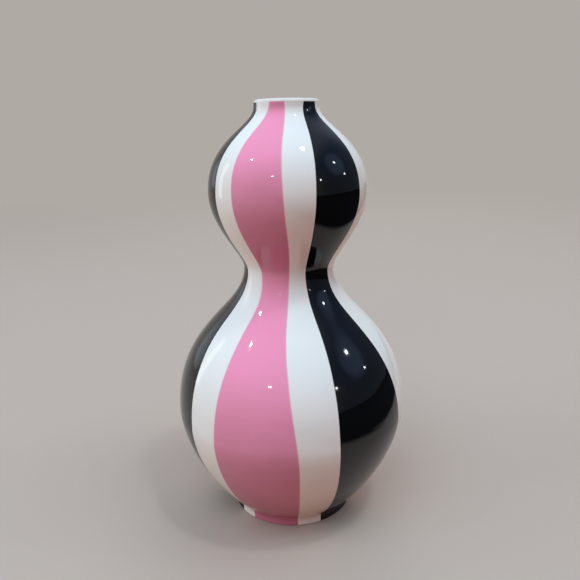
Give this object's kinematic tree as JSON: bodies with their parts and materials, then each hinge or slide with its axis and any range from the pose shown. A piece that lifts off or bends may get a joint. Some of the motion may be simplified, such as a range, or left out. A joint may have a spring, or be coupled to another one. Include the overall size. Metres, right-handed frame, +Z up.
{
  "type": "gourd vase",
  "caption": "Glazed stoneware double gourd vase with a short collar neck, a narrow waist, a foot ring and upright bands of coloured glaze, for holding flower stems.",
  "frame": {"origin": "centre of the foot ring's resting face, on the surface that the vase stands on", "axes": "+Z up along the axis of the vase, out of the mouth; -Y towards the front, where a pink band stands just left of centre"},
  "size_m": [0.1124, 0.1124, 0.2],
  "materials": {
    "bare_stoneware": "unglazed fired clay, matte",
    "joining_slip": "fired slip, matte",
    "white_glaze": "gloss white glaze",
    "pink_glaze": "gloss candy pink glaze",
    "black_glaze": "gloss black glaze"
  },
  "bodies": {
    "root": {"foot_ring": "bare_stoneware", "lower_bowl": "bare_stoneware", "lower_shoulder": "bare_stoneware", "upper_bowl": "bare_stoneware", "upper_shoulder": "bare_stoneware", "neck_collar": "bare_stoneware", "foot_seam": "joining_slip", "belly_seam": "joining_slip", "waist_seam": "joining_slip", "crown_seam": "joining_slip", "collar_seam": "joining_slip", "inside_glaze": "white_glaze", "lip_glaze": "white_glaze", "recess_glaze": "white_glaze", "pink_band_1": "pink_glaze", "pink_band_2": "pink_glaze", "pink_band_3": "pink_glaze", "black_band_1": "black_glaze", "black_band_2": "black_glaze", "black_band_3": "black_glaze", "white_band_1": "white_glaze", "white_band_2": "white_glaze", "white_band_3": "white_glaze", "white_band_4": "white_glaze", "white_band_5": "white_glaze", "white_band_6": "white_glaze"}
  },
  "joints": []
}
